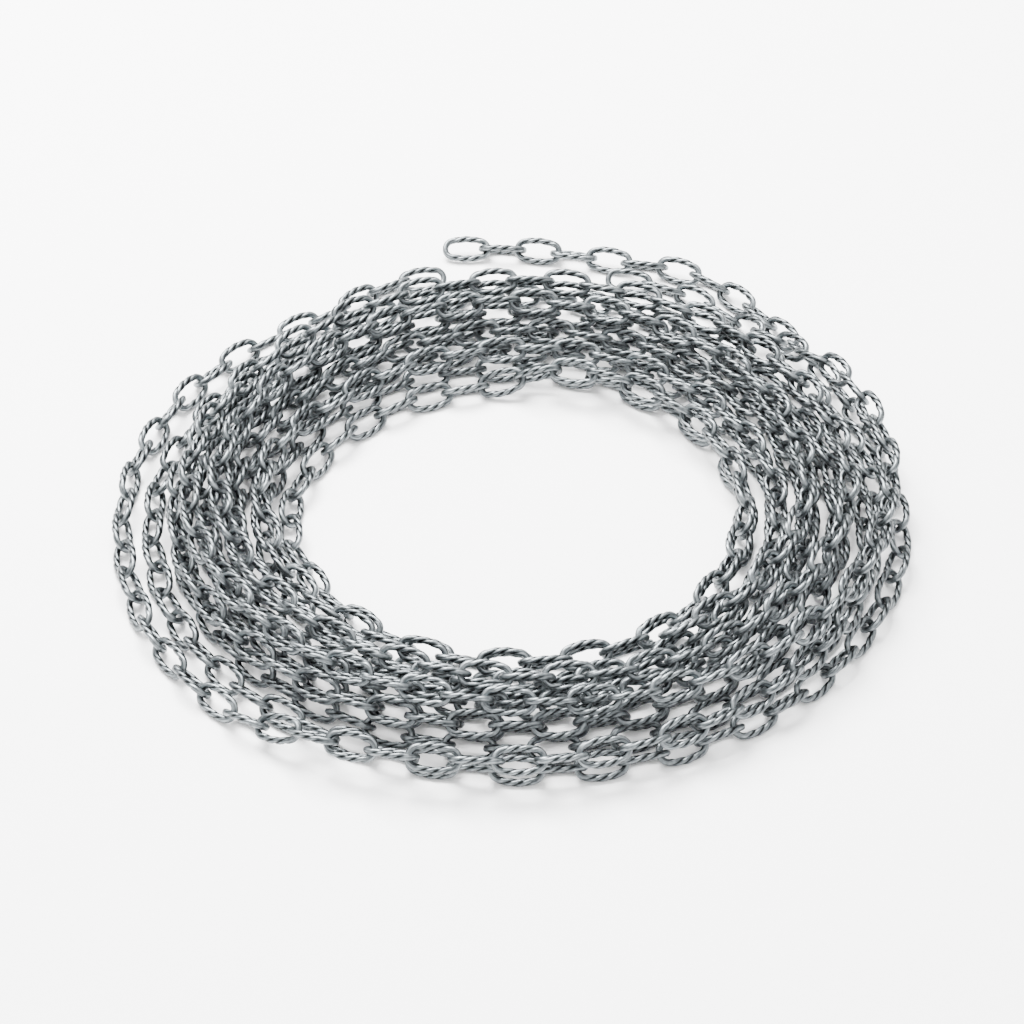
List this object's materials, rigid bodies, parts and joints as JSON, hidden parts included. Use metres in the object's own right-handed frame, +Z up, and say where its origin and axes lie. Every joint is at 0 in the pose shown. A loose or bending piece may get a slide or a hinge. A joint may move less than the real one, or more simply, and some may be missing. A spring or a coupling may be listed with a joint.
{
  "type": "coil of long-link steel chain",
  "caption": "Loose flat ring-shaped coil of galvanised long-link steel chain made of twisted wire, with free end links lying behind it.",
  "frame": {"origin": "on the ground, below the middle of the whole coil's box", "axes": "+Z up from the ground, +X to the right and +Y away from the viewer of the picture, towards the free ends"},
  "size_m": [0.453, 0.4884, 0.0439],
  "materials": {
    "zinc_steel": "galvanised, satin"
  },
  "bodies": {
    "root": {"start_link_1": "zinc_steel", "start_link_2": "zinc_steel", "start_link_3": "zinc_steel", "start_link_4": "zinc_steel", "start_link_5": "zinc_steel", "start_link_6": "zinc_steel", "chain_turn_1": "zinc_steel", "chain_turn_2": "zinc_steel", "chain_turn_3": "zinc_steel", "chain_turn_4": "zinc_steel", "chain_turn_5": "zinc_steel", "chain_turn_6": "zinc_steel", "chain_turn_7": "zinc_steel", "chain_turn_8": "zinc_steel", "chain_turn_9": "zinc_steel", "chain_turn_10": "zinc_steel", "chain_turn_11": "zinc_steel", "finish_link_1": "zinc_steel", "finish_link_2": "zinc_steel", "finish_link_3": "zinc_steel", "short_link_1": "zinc_steel", "short_link_2": "zinc_steel", "short_length": "zinc_steel"}
  },
  "joints": []
}
